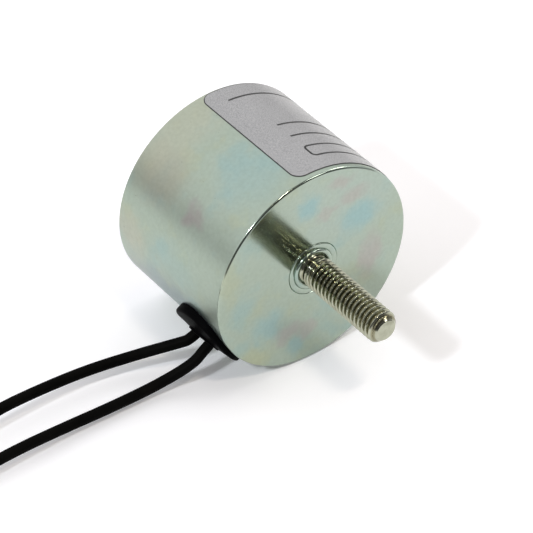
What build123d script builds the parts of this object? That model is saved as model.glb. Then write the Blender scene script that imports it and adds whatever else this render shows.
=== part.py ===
"""Holding electromagnet lying on its side, with a threaded mounting stud and two flying leads.

Millimetres. X runs along the magnet's axis and out of the stud, Z is up.
The origin is the centre of the mounting face, where the stud comes out.
"""
import os
from math import cos, hypot, pi, radians, sin, sqrt, tan

from build123d import *

# Pot: a turned steel cup that is the magnet's outer pole
body_d = 40.0
body_l = 29.5
pot_wall = 2.6
back_wall = 3.5
rim_chamfer = 0.3
pole_chamfer = 0.25
bore_corner = 0.2

# Core: the inner pole, staked into the back wall by its spigot
core_share = 0.425
spigot_d = 10.1
spigot_fit = 0.02
joint_groove = 0.16
stake_rise = 0.22
stake_inner_d = 8.1
stake_flank = 0.22
dimple_d = 7.0
dimple_depth = 0.3

# Mounting stud, screwed into the core
stud_d = 6.0
stud_out = 20.0
stud_in = 10.0
stud_fit = 0.02
drill_point = 1.4
relief_d = 4.7
relief_l = 1.0
tip_flat_d = 3.9

# Bobbin, coil and the tape round it
bobbin_play = 0.15
bobbin_tube = 0.8
bobbin_flange = 1.0
bobbin_rim_gap = 0.3
coil_fill = 0.5
tape_t = 0.2
resin_depth = 2.4
resin_sink = 0.25

# Rubber grommet in the pot's side, below and behind as the magnet lies
grommet_edge = 0.4
grommet_angle = 33.0
flange_r = 6.9
flange_t = 1.5
flange_round = 0.45
neck_r = 3.1
neck_fit = 0.05
lip_r = 3.5
lip_l = 1.1
lip_gap = 0.1
boss_l = 6.9
boss_w = 5.2
boss_rise = 0.25
boss_round = 0.2
notch_gap = 0.35

# Flying leads
lead_d = 2.0
lead_pitch = 3.4
lead_fit = 0.05
lead_free = 200.0
lead_past_lip = 0.1
strip_l = 4.0
strand_d = 1.0
coil_turn_r = 12.6
turn_pitch = 2.2
tail_r = 4.6
coil_gap = 0.2
arc_share = 0.45

# Splices between the leads and the coil
splice_lift = 0.12
splice_spread = 1.7
splice_setback = 5.9
wire_edge = 2.7
sleeve_wall = 0.3
sleeve_fit = 0.03
magnet_wire_d = 0.5
wire_run = 2.4

# Rating label
label_front_edge = 1.1
label_back_edge = 0.4
label_from = -8.0
label_to = 95.0
label_t = 0.15
label_corner = 2.2

body_r = body_d / 2
bore_r = body_r - pot_wall
core_r = core_share * body_r
spigot_r = spigot_d / 2
stud_r = stud_d / 2
spool_r = core_r + bobbin_play + bobbin_tube
coil_r = spool_r + coil_fill * (bore_r - spool_r)
tape_r = coil_r + tape_t
lead_r = lead_d / 2
strand_r = strand_d / 2
wire_r = magnet_wire_d / 2
sleeve_bore_r = strand_r + sleeve_fit
sleeve_r = sleeve_bore_r + sleeve_wall
resin_back = -(body_l - resin_depth)
coil_back = -back_wall - bobbin_flange
coil_front = resin_back + bobbin_flange
grommet_x = -(grommet_edge + flange_r)
lead_end_r = bore_r - lip_l - lead_past_lip
boss_top_r = body_r + flange_t + boss_rise
splice_r = tape_r + splice_lift + sleeve_r
splice_x = grommet_x - splice_setback
wire_turn_x = coil_front + wire_edge
sleeve_l = splice_x - wire_turn_x - wire_run
floor_z = -body_r

# Where the frame of the grommet stands: its own Z runs outwards from the magnet's axis
at_grommet = Pos(grommet_x, 0, 0) * Rot(90 + grommet_angle, 0, 0)

# Routes of the two leads from the grommet to their coils, chosen by hand: x, y and height over the floor
rear_route = [
    (-10.4, -21.4, 6.8),
    (-14.2, -27.2, 4.6),
    (-16.6, -36.0, 4.0),
    (-17.0, -46.0, 4.4),
    (-16.4, -55.5, 5.1),
    (-16.2, -64.0, 3.1),
    (-16.3, -72.0, lead_r),
    (-16.3, -78.0, lead_r),
]
front_route = [
    (-5.6, -21.3, 5.6),
    (-8.0, -27.3, 2.1),
    (-8.3, -36.5, 1.9),
    (-8.5, -46.5, 2.3),
    (-8.0, -57.0, 3.2),
    (-7.4, -68.0, 3.0),
    (-7.4, -79.0, lead_r),
    (-7.4, -88.0, lead_r),
]


def turned(*corners):
    """A solid turned about the X axis from its half section, given as (x, radius) corners."""
    return revolve(make_face(Polyline(*corners, close=True)), Axis.X)


def tube_shell(inner, outer):
    """A long sleeve round the magnet's axis, to trim pieces to the pot's curved walls."""
    length = 3 * body_l
    outside = Rot(0, 90, 0) * Cylinder(outer, length)
    return outside - Rot(0, 90, 0) * Cylinder(inner, length)


def post(radius, x=0.0, y=0.0):
    """A round post along the grommet's own Z, long enough to reach through the pot's side."""
    return Pos(x, y, 0) * Cylinder(radius, 2 * body_r, align=(Align.CENTER, Align.CENTER, Align.MIN))


def pot_shell():
    """The cup: a thick back, a thin wall, a spigot hole and the grommet's hole."""
    hole_r = spigot_r + spigot_fit
    cup = turned(
        (-joint_groove, hole_r),
        (0, hole_r + joint_groove),
        (0, body_r - rim_chamfer),
        (-rim_chamfer, body_r),
        (-body_l + pole_chamfer, body_r),
        (-body_l, body_r - pole_chamfer),
        (-body_l, bore_r + pole_chamfer),
        (-body_l + pole_chamfer, bore_r),
        (-back_wall - bore_corner, bore_r),
        (-back_wall, bore_r - bore_corner),
        (-back_wall, hole_r),
    )
    return cup - at_grommet * post(neck_r + neck_fit)


def core():
    """The inner pole with its staked spigot, drilled and countersunk for the stud."""
    hole_r = stud_r + stud_fit
    bottom = -stud_in
    return turned(
        (0, stake_inner_d / 2),
        (-dimple_depth, dimple_d / 2),
        (-dimple_depth, hole_r),
        (bottom, hole_r),
        (bottom - drill_point, 0),
        (-body_l, 0),
        (-body_l, core_r - pole_chamfer),
        (-body_l + pole_chamfer, core_r),
        (-back_wall, core_r),
        (-back_wall, spigot_r),
        (0, spigot_r),
        (stake_rise, spigot_r - stake_flank),
        (stake_rise, stake_inner_d / 2 + stake_flank),
    )


def mounting_stud():
    """The stud over its thread's crests, with a relief groove at its root and a chamfered tip."""
    relief_r = relief_d / 2
    slope = stud_r - relief_r
    tip = (stud_d - tip_flat_d) / 2
    root = -dimple_depth
    return turned(
        (-stud_in, 0),
        (-stud_in, stud_r - slope),
        (-stud_in + slope, stud_r),
        (root - slope, stud_r),
        (root, relief_r),
        (relief_l, relief_r),
        (relief_l + slope, stud_r),
        (stud_out - tip, stud_r),
        (stud_out, tip_flat_d / 2),
        (stud_out, 0),
    )


def bobbin():
    """The coil's spool: a tube between two flanges, the back one notched for the leads."""
    inner = core_r + bobbin_play
    rim = bore_r - bobbin_rim_gap
    back = -back_wall
    spool = turned(
        (back, inner),
        (back, rim - bore_corner),
        (back - bore_corner, rim),
        (coil_back, rim),
        (coil_back, spool_r),
        (coil_front, spool_r),
        (coil_front, rim),
        (resin_back, rim),
        (resin_back, inner),
    )
    half_notch = lip_r + notch_gap
    notch_l = 2 * bobbin_flange
    notch = Pos(-back_wall - grommet_x, 0, tape_r) * Box(
        notch_l, 2 * half_notch, body_r, align=(Align.CENTER, Align.CENTER, Align.MIN)
    )
    return spool - at_grommet * notch


def winding():
    """The copper winding as one closed ring between the bobbin's flanges."""
    return turned((coil_back, spool_r), (coil_back, coil_r), (coil_front, coil_r), (coil_front, spool_r))


def coil_tape():
    """The tape round the winding, with two small holes where the wire ends come out."""
    band = turned((coil_back, coil_r), (coil_back, tape_r), (coil_front, tape_r), (coil_front, coil_r))
    for side in (1, -1):
        band -= at_grommet * post(wire_r + sleeve_fit, wire_turn_x - grommet_x, side * splice_spread)
    return band


def resin_ring():
    """Casting resin that closes the coil space at the working face, set a little below the poles."""
    face = -body_l + resin_sink
    return turned((face, core_r), (resin_back, core_r), (resin_back, bore_r), (face, bore_r))


def lead_grommet():
    """The moulded grommet: a saddle outside the wall, a neck through it, a lip inside and a boss."""
    saddle = post(flange_r) & tube_shell(body_r, body_r + flange_t)
    rim = saddle.edges().filter_by(
        lambda e: abs(hypot((e @ 0.5).Y, (e @ 0.5).Z) - body_r - flange_t) < 1e-3
    )
    saddle = fillet(rim, flange_round)
    neck = post(neck_r) & tube_shell(bore_r, body_r)
    coil_space = Pos(-back_wall - lip_gap - grommet_x, 0, 0) * Box(
        body_l, body_d, 2 * body_d, align=(Align.MAX, Align.CENTER, Align.CENTER)
    )
    lip = post(lip_r) & tube_shell(bore_r - lip_l, bore_r) & coil_space
    base = body_r + flange_t / 3
    boss = Pos(0, 0, base) * extrude(SlotOverall(boss_l, boss_w), boss_top_r - base)
    boss = fillet(boss.faces().sort_by(Axis.Z)[-1].edges(), boss_round)
    body = saddle + neck + lip + boss
    for side in (1, -1):
        body -= post(lead_r + lead_fit, side * lead_pitch / 2)
    return at_grommet * body


def label():
    """The printed label: a thin skin wrapped part of the way round, with rounded corners."""
    near = -label_front_edge
    far = label_back_edge - body_l
    top = body_r + label_t
    strip = make_face(Polyline((near, body_r), (far, body_r), (far, top), (near, top), close=True))
    skin = revolve(strip, Axis.X, label_to - label_from)
    corners = skin.edges().filter_by(lambda e: e.length < 2 * label_t)
    return Rot(90 - label_to, 0, 0) * fillet(corners, label_corner)


def corner_radii(points):
    """The arc for each corner, which takes up arc_share of the shorter of its two runs."""
    runs = [Vector(*b) - Vector(*a) for a, b in zip(points, points[1:])]
    radii = []
    for before, after in zip(runs, runs[1:]):
        half_turn = radians(before.get_angle(after)) / 2
        radii.append(arc_share * min(before.length, after.length) / tan(half_turn))
    return radii


def bent_wire(points, radius):
    """A round wire with sharp bends, as short wire ends are folded by hand."""
    path = Polyline(*points)
    start = Plane(origin=path @ 0, z_dir=path % 0)
    return sweep(start * Circle(radius), path=path, transition=Transition.RIGHT)


def lead_start(side):
    """Two points on a lead's own axis in the grommet: inside the pot, and just past the boss."""
    x = grommet_x + side * lead_pitch / 2
    back, down = cos(radians(grommet_angle)), sin(radians(grommet_angle))
    return [(x, -r * back, -r * down) for r in (lead_end_r, boss_top_r + lead_r)]


def lead(side, route, name):
    """One insulated lead from inside the pot to the start of its coil, and its length.

    It has straight runs joined by tangent arcs.
    """
    points = lead_start(side) + [(x, y, floor_z + height) for x, y, height in route]
    radii = corner_radii(points)
    path = FilletPolyline(*points, radius=radii)
    start = Plane(origin=path @ 0, z_dir=path % 0)
    wire = sweep(start * Circle(lead_r), path=path)
    ideal = pi * lead_r**2 * path.length
    print(name, "radii", [round(r, 1) for r in radii])
    print(name, "length", round(path.length, 1), "volume against section times length", wire.volume / ideal)
    return wire, path.length


def coil_turns(tube_l):
    """How many turns put away what is left of a lead, and the radius of the innermost one.

    The turns close in by turn_pitch each, and an off-centre half turn to tail_r ends them.
    Their lengths add up to what is left, which is a quadratic in the number of turns.
    """
    inside = boss_top_r - lead_end_r
    left = lead_free - (tube_l - inside) - strip_l
    linear = 2 * coil_turn_r - turn_pitch / 2
    rest = left / pi - (coil_turn_r + tail_r) / 2
    turns = (linear - sqrt(linear**2 - 4 * turn_pitch * rest)) / (2 * turn_pitch)
    return turns, coil_turn_r - turns * turn_pitch


def lead_coil(route, turn_way, tube_l):
    """The put-away coil as one flat ring, open where the lead runs in, with its inner half turn.

    turn_way is 1 for a coil wound anticlockwise seen from above, and -1 for a clockwise one.
    """
    x, y, height = route[-1]
    centre = Vector(x + turn_way * coil_turn_r, y, floor_z + height)
    turns, inner = coil_turns(tube_l)
    last = 90 + turn_way * (90 + 360 * turns)
    outwards = Vector(1, 0, 0).rotate(Axis.Z, last)
    plan = Circle(coil_turn_r + lead_r) - Circle(inner - lead_r)
    run_in_x = coil_turn_r + lead_r - (lead_d + coil_gap) / 2
    plan -= Pos(-turn_way * run_in_x, 0) * Rectangle(
        lead_d + coil_gap, 2 * coil_turn_r, align=(Align.CENTER, Align.MIN)
    )
    tail_turn_r = (inner + tail_r) / 2
    tail_ring = Circle(tail_turn_r + lead_r) - Circle(tail_turn_r - lead_r)
    tail_side = Rot(0, 0, last) * Rectangle(
        4 * coil_turn_r, 2 * coil_turn_r, align=(Align.CENTER, Align.MIN if turn_way > 0 else Align.MAX)
    )
    tail_middle = outwards * ((inner - tail_r) / 2)
    plan += Pos(tail_middle.X, tail_middle.Y) * (tail_ring & tail_side)
    ring = Pos(*centre) * extrude(plan, lead_r, both=True)
    end = centre - outwards * tail_r
    heading = Vector(0, -turn_way, 0).rotate(Axis.Z, last)
    bare = Plane(origin=end, z_dir=heading) * Cylinder(
        strand_r, strip_l, align=(Align.CENTER, Align.CENTER, Align.MIN)
    )
    print("coil turns", round(turns, 3), "inner radius", round(inner, 2))
    return ring, bare


def splice_point(x, side, r):
    """A place in the coil space below the grommet, as a point of the whole magnet."""
    local = Pos(x - grommet_x, side * splice_spread, r)
    return tuple((at_grommet * local).position)


def inner_strand(side):
    """The lead's stripped strands inside the pot, bent over to run into the splice sleeve."""
    x = side * lead_pitch / 2
    points = [
        tuple((at_grommet * Pos(x, 0, lead_end_r)).position),
        tuple((at_grommet * Pos(x, 0, splice_r)).position),
        splice_point(splice_x + wire_run, side, splice_r),
        splice_point(splice_x - sleeve_l / 2, side, splice_r),
    ]
    return bent_wire(points, strand_r)


def splice_sleeve(side):
    """The shrunk sleeve over a lead's joint with the coil's wire."""
    section = Circle(sleeve_r) - Circle(sleeve_bore_r)
    start = Vector(*splice_point(splice_x, side, splice_r))
    return extrude(Plane(origin=start, z_dir=(-1, 0, 0)) * section, sleeve_l)


def coil_tail(side):
    """The coil's own wire end, from the joint in the sleeve down to the winding."""
    points = [
        splice_point(splice_x - sleeve_l / 2, side, splice_r),
        splice_point(wire_turn_x, side, splice_r),
        splice_point(wire_turn_x, side, 0),
    ]
    return bent_wire(points, wire_r) - Rot(0, 90, 0) * Cylinder(coil_r, 3 * body_l)


def build():
    """Every piece by the name of its node."""
    rear_lead, rear_l = lead(-1, rear_route, "rear_lead")
    front_lead, front_l = lead(1, front_route, "front_lead")
    rear_coil, rear_bare = lead_coil(rear_route, -1, rear_l)
    front_coil, front_bare = lead_coil(front_route, 1, front_l)
    return {
        "pot_shell": pot_shell(),
        "core": core(),
        "mounting_stud": mounting_stud(),
        "bobbin": bobbin(),
        "winding": winding(),
        "coil_tape": coil_tape(),
        "resin_ring": resin_ring(),
        "lead_grommet": lead_grommet(),
        "label": label(),
        "rear_lead": rear_lead,
        "front_lead": front_lead,
        "rear_lead_coil": rear_coil,
        "front_lead_coil": front_coil,
        "rear_lead_bare_end": rear_bare,
        "front_lead_bare_end": front_bare,
        "rear_inner_strand": inner_strand(-1),
        "front_inner_strand": inner_strand(1),
        "rear_splice_sleeve": splice_sleeve(-1),
        "front_splice_sleeve": splice_sleeve(1),
        "rear_coil_tail": coil_tail(-1),
        "front_coil_tail": coil_tail(1),
    }


os.makedirs("parts", exist_ok=True)
for node, solid in build().items():
    solid.label = node
    export_step(solid, f"parts/{node}.step")
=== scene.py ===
"""Looks of the holding electromagnet: its meshes, finishes, light and camera.

Everything is in metres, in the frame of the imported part: X runs out of the stud, Z is up, and the
origin is the centre of the mounting face. The magnet lies on its side on a pale floor.
"""

import logging
import math
from dataclasses import dataclass, field
from enum import Enum

import bmesh
import bpy
import numpy as np
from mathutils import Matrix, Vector


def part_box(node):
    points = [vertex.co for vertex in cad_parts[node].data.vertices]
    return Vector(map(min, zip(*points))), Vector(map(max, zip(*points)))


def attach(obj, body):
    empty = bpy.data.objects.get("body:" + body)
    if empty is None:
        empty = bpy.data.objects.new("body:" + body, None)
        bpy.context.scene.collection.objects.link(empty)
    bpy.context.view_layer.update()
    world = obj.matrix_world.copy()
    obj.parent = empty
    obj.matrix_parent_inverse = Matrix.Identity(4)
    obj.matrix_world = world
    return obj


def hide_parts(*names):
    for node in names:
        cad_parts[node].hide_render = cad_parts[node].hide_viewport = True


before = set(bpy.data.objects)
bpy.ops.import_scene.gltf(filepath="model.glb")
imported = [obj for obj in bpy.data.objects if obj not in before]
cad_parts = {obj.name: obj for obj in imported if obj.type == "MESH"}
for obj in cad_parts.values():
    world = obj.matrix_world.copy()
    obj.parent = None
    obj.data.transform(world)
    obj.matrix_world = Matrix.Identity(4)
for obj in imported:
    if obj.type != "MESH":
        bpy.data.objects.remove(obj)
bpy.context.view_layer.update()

log = logging.getLogger("holding_electromagnet")

MM = 0.001
BODY = "root"
SMOOTH_ANGLE = math.radians(32)
AROUND = 192
SPOT_EDGE = (0.25, 1.1)

Points = np.ndarray
Triple = tuple[float, float, float]
Pair = tuple[float, float]
Box = tuple[float, float, float, float]
Route = list[Triple]
Piece = bpy.types.Object
Material = bpy.types.Material
Socket = bpy.types.NodeSocket
Value = Socket | float | tuple


class Side(Enum):
    """Which of the two leads a piece belongs to, as the sign of its place along X."""

    REAR = -1
    FRONT = 1


class Winding(Enum):
    """The way a put-away coil is wound, seen from above."""

    ANTICLOCKWISE = 1
    CLOCKWISE = -1


# Mesh work


def stand(name: str, data: bpy.types.ID, place: Triple = (0, 0, 0), heading: Vector | None = None) -> Piece:
    """Puts a new object in the scene.

    Args:
        name: Its name.
        data: Its mesh, curve, camera or lamp.
        place: Where it stands.
        heading: Which way its -Z axis points, for a camera or lamp.

    Returns:
        The object.
    """
    piece = bpy.data.objects.new(name, data)
    piece.location = place
    if heading is not None:
        piece.rotation_euler = heading.to_track_quat("-Z", "Y").to_euler()
    bpy.context.scene.collection.objects.link(piece)
    return piece


def once_round(count: int) -> Points:
    """A row of angles once round."""
    return np.linspace(0, 2 * math.pi, count, endpoint=False)[None, :]


def about_axis(x: Points, r: Points, angle: Points) -> Points:
    """Places round the X axis: (x, r, angle) goes to (x, r cos angle, r sin angle)."""
    return np.stack([x + 0 * angle, r * np.cos(angle), r * np.sin(angle)], axis=2)


def new_object(name: str, vertices: Points, polygons: list[Points]) -> Piece:
    """Makes a smooth-shaded mesh object from whole arrays.

    Args:
        name: Name of the object.
        vertices: Array (n, 3) of places in the row frame.
        polygons: Arrays of vertex numbers, each (count, corners) for polygons of one size.

    Returns:
        The object, at the origin, linked to the scene.
    """
    mesh = bpy.data.meshes.new(name)
    loops = np.concatenate([p.ravel() for p in polygons]).astype(np.int32)
    sizes = np.concatenate([np.full(len(p), p.shape[1]) for p in polygons]).astype(np.int32)
    starts = np.concatenate([[0], np.cumsum(sizes)[:-1]]).astype(np.int32)
    mesh.vertices.add(len(vertices))
    mesh.vertices.foreach_set("co", np.ascontiguousarray(vertices, np.float32).ravel())
    mesh.loops.add(len(loops))
    mesh.loops.foreach_set("vertex_index", loops)
    mesh.polygons.add(len(sizes))
    mesh.polygons.foreach_set("loop_start", starts)
    mesh.update(calc_edges=True)
    mesh.validate()
    piece = stand(name, mesh)
    tidy_normals(piece)
    return piece


def tidy_normals(piece: Piece) -> None:
    """Turns all faces outwards, shades them smooth and marks the edges sharper than SMOOTH_ANGLE.

    Args:
        piece: The piece, which changes in place.
    """
    work = bmesh.new()
    work.from_mesh(piece.data)
    bmesh.ops.remove_doubles(work, verts=work.verts, dist=1e-8)
    bmesh.ops.recalc_face_normals(work, faces=work.faces)
    work.to_mesh(piece.data)
    work.free()
    piece.data.shade_smooth()
    piece.data.set_sharp_from_angle(angle=SMOOTH_ANGLE)


def grid_polygons(rows: int, columns: int, close_rows: bool, start: int = 0) -> Points:
    """Quads between neighbouring rows of a grid whose columns go once round.

    Vertex (i, j) has number start + i * columns + j, and quad (i, j) joins rows i and i + 1.

    Args:
        rows: Number of rows.
        columns: Number of vertices in each closed row.
        close_rows: True if the last row joins the first.
        start: Number of the first vertex.

    Returns:
        Array (count, 4) of vertex numbers.
    """
    first = np.arange(rows if close_rows else rows - 1)[:, None]
    second = (first + 1) % rows
    here = np.arange(columns)[None, :]
    after = (here + 1) % columns
    low, high = first * columns, second * columns
    quads = [low + here, low + after, high + after, high + here]
    return start + np.stack([corner.ravel() for corner in quads], axis=1)


def rows_object(name: str, grid: Points, closed: bool = False) -> Piece:
    """A solid from a grid (rows, columns, 3) of closed rows, closed on itself or by a cap on each end.

    Args:
        name: Name of the object.
        grid: The places of its vertices.
        closed: True if the last row joins the first, as on a ring.

    Returns:
        The object.
    """
    rows, columns, _ = grid.shape
    vertices = grid.reshape(-1, 3)
    polygons = [grid_polygons(rows, columns, closed)]
    if not closed:
        middles = np.stack([grid[0].mean(axis=0), grid[-1].mean(axis=0)])
        vertices = np.concatenate([vertices, middles])
        here = np.arange(columns)
        after = (here + 1) % columns
        for row, middle in ((0, rows * columns), (rows - 1, rows * columns + 1)):
            fan = [np.full(columns, middle), row * columns + here, row * columns + after]
            polygons.append(np.stack(fan, axis=1))
    return new_object(name, vertices, polygons)


def rounded(corners: list[Triple], closed: bool, steps: int = 6) -> Points:
    """A profile whose corners are rounded by arcs, with a guard point close to each arc's ends.

    A corner P between unit directions a and b to its neighbours, with radius r and half angle h
    between them, has its arc's centre at P + (a + b) / |a + b| * r / sin h, and the arc starts at
    P + a * r / tan h. The guard points keep the shading of the long flats even.

    Args:
        corners: (x, radius, rounding) of each corner in order.
        closed: True if the last corner joins the first.
        steps: Number of steps in each arc.

    Returns:
        Array (n, 2) of points.
    """
    guard = 0.04 * MM
    spots = np.array([c[:2] for c in corners])
    count = len(corners)
    out = []
    for i, (x, y, r) in enumerate(corners):
        here = np.array([x, y])
        if r <= 0 or (not closed and i in (0, count - 1)):
            out.append(here[None])
            continue
        a, b = spots[i - 1] - here, spots[(i + 1) % count] - here
        a, b = a / np.linalg.norm(a), b / np.linalg.norm(b)
        half = math.acos(float(np.clip(a @ b, -1, 1))) / 2
        middle = (a + b) / np.linalg.norm(a + b)
        centre = here + middle * r / math.sin(half)
        start, end = here + a * r / math.tan(half), here + b * r / math.tan(half)
        t = np.linspace(0, 1, steps + 1)[:, None]
        sweep = math.pi - 2 * half
        from_start, from_end = np.sin((1 - t) * sweep), np.sin(t * sweep)
        arc = centre + ((start - centre) * from_start + (end - centre) * from_end) / math.sin(sweep)
        out.append(np.concatenate([(start + a * guard)[None], arc, (end + b * guard)[None]]))
    return np.concatenate(out)


def turned(name: str, profile: Points, closed: bool, around: int = AROUND) -> Piece:
    """A piece turned about the X axis from (x, radius) points, whose profile may close on itself."""
    return rows_object(name, about_axis(profile[:, :1], profile[:, 1:], once_round(around)), closed)


def cut(piece: Piece, cutter: Piece) -> None:
    """Takes the cutter's space out of a piece and removes the cutter.

    Args:
        piece: The piece, which changes in place.
        cutter: A closed solid, which is used up.
    """
    step = piece.modifiers.new("cut", "BOOLEAN")
    step.operation = "DIFFERENCE"
    step.solver = "EXACT"
    step.object = cutter
    bpy.context.view_layer.update()
    seen = piece.evaluated_get(bpy.context.evaluated_depsgraph_get())
    mesh = bpy.data.meshes.new_from_object(seen)
    piece.modifiers.clear()
    old, piece.data = piece.data, mesh
    bpy.data.meshes.remove(old)
    bpy.data.objects.remove(cutter)
    tidy_normals(piece)


def settle(piece: Piece, material: Material, slot: str, *nodes: str) -> Piece:
    """Dresses a finished piece, hides the CAD nodes that it stands for, and lets it ride on the magnet's
    body.

    Args:
        piece: The finished piece.
        material: Its material, unless it has materials already.
        slot: The record's material slot; not used.
        nodes: The CAD nodes that it stands for.

    Returns:
        The piece.
    """
    if not piece.data.materials:
        piece.data.materials.append(material)
    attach(piece, BODY)
    if nodes:
        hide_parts(*nodes)
    log.info("%s: %s", piece.name, material.name)
    return piece


# Finishes


class Tree:
    """A node tree under construction: adds shader nodes and joins them."""

    def __init__(self, tree: bpy.types.NodeTree) -> None:
        """Starts from an empty tree."""
        self.tree = tree
        self.tree.nodes.clear()

    def join(self, source: Socket, target: Socket) -> None:
        """Links two sockets."""
        self.tree.links.new(source, target)

    def fill(self, node: bpy.types.Node, inputs: dict[str | int, Value]) -> None:
        """Gives a node's inputs their sockets or fixed values.

        Args:
            node: The node.
            inputs: What goes into each input, by name or number.
        """
        for name, value in inputs.items():
            if isinstance(value, Socket):
                self.join(value, node.inputs[name])
            else:
                node.inputs[name].default_value = value

    def add(
        self, kind: str, inputs: dict[str | int, Value] | None = None, output: str | int = 0, **settings: str
    ) -> Socket:
        """Adds a node.

        Args:
            kind: Its type, without the word ShaderNode.
            inputs: What goes into it, by name or number.
            output: Which of its outputs is wanted.
            settings: Its other settings, by name.

        Returns:
            The socket of that output.
        """
        node = self.tree.nodes.new(f"ShaderNode{kind}")
        for name, value in settings.items():
            setattr(node, name, value)
        self.fill(node, inputs or {})
        return node.outputs[output]

    def maths(self, operation: str, first: Socket | float, second: Socket | float) -> Socket:
        """A sum on two numbers, by Blender's name of the operation."""
        return self.add("Math", {0: first, 1: second}, operation=operation)

    def ramp(self, value: Socket, stops: list[tuple[float, Triple]]) -> Socket:
        """Colours a value by stops of (position, colour).

        Args:
            value: The socket to colour.
            stops: Two or more stops, in order.

        Returns:
            The socket of the colour.
        """
        node = self.tree.nodes.new("ShaderNodeValToRGB")
        row = node.color_ramp.elements
        while len(row) < len(stops):
            row.new(0.5)
        for element, (position, colour) in zip(row, stops):
            element.position = position
            element.color = (*colour, 1)
        self.join(value, node.inputs["Fac"])
        return node.outputs["Color"]

    def spread(self, value: Socket, low: float, high: float, across: Pair = (0.3, 0.7)) -> Socket:
        """Maps a value smoothly to low to high, from the range where noise mostly lies or another."""
        limits = {"From Min": across[0], "From Max": across[1], "To Min": low, "To Max": high}
        return self.add("MapRange", {"Value": value, **limits}, "Result", interpolation_type="SMOOTHSTEP")

    def mix(
        self, first: Socket | Triple, second: Socket | Triple, share: Socket | float, blend: str = "MIX"
    ) -> Socket:
        """Mixes a share of the second colour into the first, by Blender's name of the way."""
        pair = {i: c if isinstance(c, Socket) else (*c, 1) for i, c in ((6, first), (7, second))}
        return self.add("Mix", {0: share, **pair}, 2, data_type="RGBA", blend_type=blend)


class Sketch(Tree):
    """A material under construction, with one Principled shader and patterns on Object coordinates."""

    def __init__(self, name: str) -> None:
        """Starts a material with a Principled shader.

        Args:
            name: Name of the material.
        """
        self.material = bpy.data.materials.new(name)
        self.material.use_nodes = True
        super().__init__(self.material.node_tree)
        output = self.tree.nodes.new("ShaderNodeOutputMaterial")
        self.shader = self.tree.nodes.new("ShaderNodeBsdfPrincipled")
        self.join(self.shader.outputs["BSDF"], output.inputs["Surface"])
        self.place = self.add("TexCoord", output="Object")

    def set(self, **inputs: Value) -> None:
        """Sets the shader's inputs, with _ for each space in an input's name."""
        self.fill(self.shader, {name.replace("_", " "): value for name, value in inputs.items()})

    def noise(self, size: float, detail: float = 2.0, stretch: Triple = (1, 1, 1)) -> Socket:
        """Soft noise from 0 to 1, with features of about a size in metres, longer by stretch each way."""
        place = self.add("Mapping", {"Vector": self.place, "Scale": tuple(1 / s for s in stretch)})
        return self.add("TexNoise", {"Vector": place, "Scale": 1 / size, "Detail": detail}, "Fac")

    def length(self, vector: Socket) -> Socket:
        """Length of a vector."""
        return self.add("VectorMath", {0: vector}, "Value", operation="LENGTH")

    def radius(self) -> Socket:
        """Distance from the X axis, in metres."""
        return self.length(self.add("VectorMath", {0: self.place, 1: (0, 1, 1)}, operation="MULTIPLY"))

    def wavy_place(self, size: float, reach: float) -> Socket:
        """The place, moved about by noise of the given size: place + reach * noise, in metres."""
        noise = self.add("TexNoise", {"Vector": self.place, "Scale": 1 / size, "Detail": 3}, "Color")
        return self.add("VectorMath", {0: noise, 1: (reach,) * 3, 2: self.place}, operation="MULTIPLY_ADD")

    def spot(self, wavy: Socket, centre: Vector, reach: Vector) -> Socket:
        """A soft spot: 1 at the centre of an oval, and 0 from its edge on.

        Args:
            wavy: The place, moved about.
            centre: The oval's centre.
            reach: Its half axes along X, Y and Z.

        Returns:
            The socket of its value.
        """
        shift, scale = tuple(-c / r for c, r in zip(centre, reach)), tuple(1 / r for r in reach)
        oval = self.add("Mapping", {"Vector": wavy, "Location": shift, "Scale": scale})
        return self.spread(self.length(oval), 1, 0, SPOT_EDGE)

    def relief(self, pattern: Socket, depth: float) -> None:
        """Raises the surface by a pattern, to a depth in metres."""
        self.set(Normal=self.add("Bump", {"Height": pattern, "Strength": 1.0, "Distance": depth}, "Normal"))

    def grain(self, pattern: Socket, roughness: Pair, depth: float) -> None:
        """Lets one fine pattern vary the roughness and raise the surface to a depth in metres."""
        self.set(Roughness=self.spread(pattern, *roughness))
        self.relief(pattern, depth)


@dataclass(frozen=True)
class Spot:
    """One soft tinted patch on the plating, with its centre and half axes in millimetres: most are the film's
    own tint, one is painted shade.
    """

    colour: Triple
    centre: Triple
    reach: Triple
    strength: float = 0.8


BLUE = (0.325, 0.475, 0.475)
PINK = (0.43, 0.415, 0.39)
YELLOW = (0.45, 0.485, 0.345)
BROWN = (0.40, 0.375, 0.30)


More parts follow.
